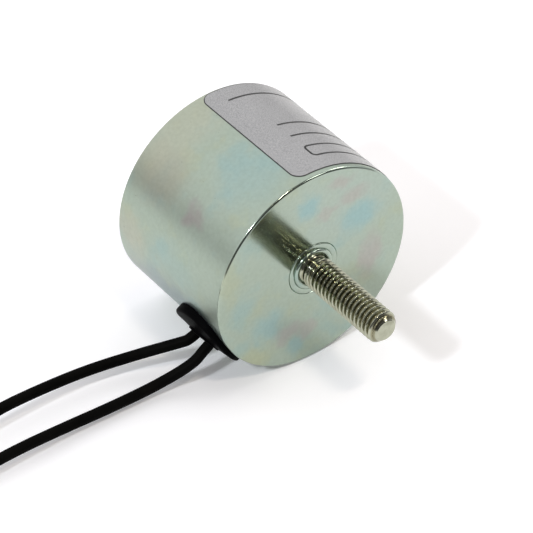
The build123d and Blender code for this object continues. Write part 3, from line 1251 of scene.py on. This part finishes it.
@dataclass
class Label:
    """The silver label, wrapped over the top, with a blank printed form.

    The form is a box, as lowest and highest x and distance round, and rules, as (x, from) up to
    the box's far end.
    """

    finishes: Finishes
    radius: float = 20 * MM
    near: float = -1.1 * MM
    far: float = -29.1 * MM
    from_angle: float = math.radians(-8)
    to_angle: float = math.radians(95)
    corner: float = 2.2 * MM
    film_low: float = 0.03 * MM
    film_t: float = 0.10 * MM
    film_in: float = 0.17 * MM
    edge_low: float = 0.002 * MM
    edge_t: float = 0.05 * MM
    line: float = 0.4 * MM
    ink: Pair = (-0.01 * MM, 0.012 * MM)
    form: Box = (-8.0 * MM, -4.6 * MM, 3.4 * MM, 26 * MM)
    form_corner: float = 1.0 * MM
    rules: tuple[Pair, ...] = ((-11.4 * MM, 3.6 * MM), (-15.2 * MM, 3.6 * MM), (-25.4 * MM, 0.8 * MM))
    first_ring: float = 0.02
    rule_rings: int = 16
    rule_round: float = 0.995

    def heights(self) -> Pair:
        """Underside and top of the print over the wall."""
        return self.film_t + self.ink[0], self.film_t + self.ink[1]

    def outline(self, box: Box, corner: float, count: int = 40) -> Points:
        """A rectangle with round corners, as (x, distance round) points.

        Each corner is a quarter circle about (the side moved in by corner), with count points along
        each straight side, so that it bends with the wall.

        Args:
            box: Lowest x, highest x, lowest and highest distance round.
            corner: Radius of the corners.
            count: Points on each side.

        Returns:
            Array (n, 2), once round.
        """
        low_x, high_x, low_v, high_v = box
        middles = [
            (high_x - corner, low_v + corner, -math.pi / 2),
            (high_x - corner, high_v - corner, 0.0),
            (low_x + corner, high_v - corner, math.pi / 2),
            (low_x + corner, low_v + corner, math.pi),
        ]
        t = np.linspace(0, math.pi / 2, 10)
        arcs = [
            np.column_stack([x + corner * np.cos(a + t), v + corner * np.sin(a + t)]) for x, v, a in middles
        ]
        parts = []
        for arc, after in zip(arcs, arcs[1:] + arcs[:1]):
            side = np.linspace(0, 1, count + 2)[1:-1, None]
            parts += [arc, arc[-1] * (1 - side) + after[0] * side]
        return np.concatenate(parts)

    def wrap(self, flat: Points, height: float | Points) -> Points:
        """Lays points on the wall: angle = v / R from the top, y = r sin angle, z = r cos angle.

        Args:
            flat: The points as (x, distance v round).
            height: Their height over the wall.

        Returns:
            Their places.
        """
        angle = flat[..., 1] / self.radius
        r = self.radius + height
        return np.stack([flat[..., 0], r * np.sin(angle), r * np.cos(angle)], axis=-1)

    def skin(self, name: str, edge: Points, low: float, high: float, rings: int = 26) -> Piece:
        """A thin wrapped sheet inside an outline, between two heights over the wall.

        Each ring is middle + (edge - middle) * share, on the top and on the bottom, and the shares go
        evenly from first_ring to 1.

        Args:
            name: Name of the piece.
            edge: The outline.
            low: Height of its underside.
            high: Height of its top.
            rings: Rings from the middle to the edge.

        Returns:
            The object.
        """
        middle = edge.mean(axis=0)
        share = np.linspace(self.first_ring, 1, rings)[:, None, None]
        rows = middle + (edge[None] - middle) * share
        top = self.wrap(rows, high)
        bottom = self.wrap(rows[::-1], low)
        return rows_object(name, np.concatenate([top, bottom]))

    def box(self, inset: float) -> Box:
        """The label's rectangle, moved in by inset."""
        low, high = self.from_angle * self.radius, self.to_angle * self.radius
        return self.far + inset, self.near - inset, low + inset, high - inset

    def frame_line(self, name: str, box: Box, corner: float) -> Piece:
        """A printed line round a rectangle: a closed ring between two outlines, just over the film.

        Args:
            name: Name of the piece.
            box: The rectangle, which the line lies inside.
            corner: Radius of its corners.

        Returns:
            The object.
        """
        low_x, high_x, low_v, high_v = box
        inner_box = (low_x + self.line, high_x - self.line, low_v + self.line, high_v - self.line)
        outer, inner = self.outline(box, corner), self.outline(inner_box, corner - self.line)
        base, top = self.heights()
        rows = ((outer, base), (outer, top), (inner, top), (inner, base))
        return rows_object(name, np.stack([self.wrap(edge, height) for edge, height in rows]), closed=True)

    def rule(self, name: str, x: float, low: float, high: float) -> Piece:
        """A printed line round the label, with ends all but round.

        Args:
            name: Name of the piece.
            x: Its place along the magnet.
            low: Where it starts, as distance round.
            high: Where it ends.

        Returns:
            The object.
        """
        half = self.line / 2
        edge = self.outline((x - half, x + half, low, high), half * self.rule_round)
        return self.skin(name, edge, *self.heights(), self.rule_rings)

    def build(self) -> None:
        """Makes the film, its dark edge and the blank form."""
        # The dark sheet under the film's rim is partly adhesive and partly a painted shadow line along the
        # label's edge.
        edge = self.skin("label_adhesive_and_shadow", self.outline(self.box(0), self.corner), self.edge_low, self.edge_t)
        settle(edge, self.finishes.adhesive_and_shadow, "silver_label")
        outline = self.outline(self.box(self.film_in), self.corner - self.film_in)
        film = self.skin("label_film", outline, self.film_low, self.film_t)
        settle(film, self.finishes.film, "silver_label", "label")
        settle(self.frame_line("form_box", self.form, self.form_corner), self.finishes.ink, "silver_label")
        for number, (x, low) in enumerate(self.rules, 1):
            line = self.rule(f"form_rule_{number}", x, low, self.form[3])
            settle(line, self.finishes.ink, "silver_label")


@dataclass
class Inside:
    """The coil and the other pieces that the pot hides."""

    finishes: Finishes
    wire: float = 0.45 * MM
    spool: float = 9.45 * MM
    per_turn: int = 6
    around: int = 96

    def winding(self) -> None:
        """The coil with its turns showing: r = outer - wire / 2 * (1 - |sin(pi x / pitch of a turn)|)."""
        low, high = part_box("winding")
        outer, back, front = high.z, high.x, low.x
        turns = int((back - front) / self.wire)
        x = np.linspace(front, back, turns * self.per_turn + 1)
        swell = np.abs(np.sin(math.pi * (x - front) / (back - front) * turns))
        top = np.column_stack([x, outer - self.wire / 2 * (1 - swell)])
        profile = np.concatenate([top, [(back, self.spool), (front, self.spool)]])
        piece = turned("wound_coil", profile, True, self.around)
        settle(piece, self.finishes.copper, "enamelled_copper", "winding")

    def dress(self) -> None:
        """Gives the CAD nodes that stay their finishes."""
        rows = {"bobbin": self.finishes.nylon, "coil_tape": self.finishes.tape}
        kinds = {
            "inner_strand": self.finishes.tinned,
            "splice_sleeve": self.finishes.sleeve,
            "coil_tail": self.finishes.copper,
        }
        rows |= {f"{side.name.lower()}_{kind}": look for kind, look in kinds.items() for side in Side}
        for name, material in rows.items():
            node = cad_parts[name]
            node.data.materials.clear()
            node.data.materials.append(material)
            log.info("%s: %s", name, material.name)

    def build(self) -> None:
        """Makes the winding and dresses the rest."""
        self.winding()
        self.dress()


REAR_ROUTE: Route = [
    (-0.0104, -0.0214, -0.0132),
    (-0.0142, -0.0272, -0.0154),
    (-0.0166, -0.0360, -0.0160),
    (-0.0170, -0.0460, -0.0156),
    (-0.0164, -0.0555, -0.0149),
    (-0.0162, -0.0640, -0.0169),
    (-0.0163, -0.0720, -0.0190),
    (-0.0163, -0.0780, -0.0190),
]
FRONT_ROUTE: Route = [
    (-0.0056, -0.0213, -0.0144),
    (-0.0080, -0.0273, -0.0179),
    (-0.0083, -0.0365, -0.0181),
    (-0.0085, -0.0465, -0.0177),
    (-0.0080, -0.0570, -0.0168),
    (-0.0074, -0.0680, -0.0170),
    (-0.0074, -0.0790, -0.0190),
    (-0.0074, -0.0880, -0.0190),
]


def corners(low: Vector, high: Vector) -> list[list[float]]:
    """A box as plain lists of numbers."""
    return [list(low), list(high)]


def main() -> None:
    """Builds the scene in order: camera and cords, then the magnet."""
    logging.basicConfig(level=logging.INFO, format="%(name)s %(message)s")
    Studio().build()
    finishes, wall = Finishes(), Wall()
    Lead(Side.REAR, Winding.CLOCKWISE, REAR_ROUTE, 1.657, 8.96 * MM, finishes, wall).build()
    Lead(Side.FRONT, Winding.ANTICLOCKWISE, FRONT_ROUTE, 1.481, 9.34 * MM, finishes, wall).build()
    Pot(finishes, wall).build()
    Stud(finishes).build()
    Grommet(finishes, wall).build()
    Label(finishes).build()
    Inside(finishes).build()


if __name__ == "__main__":
    main()
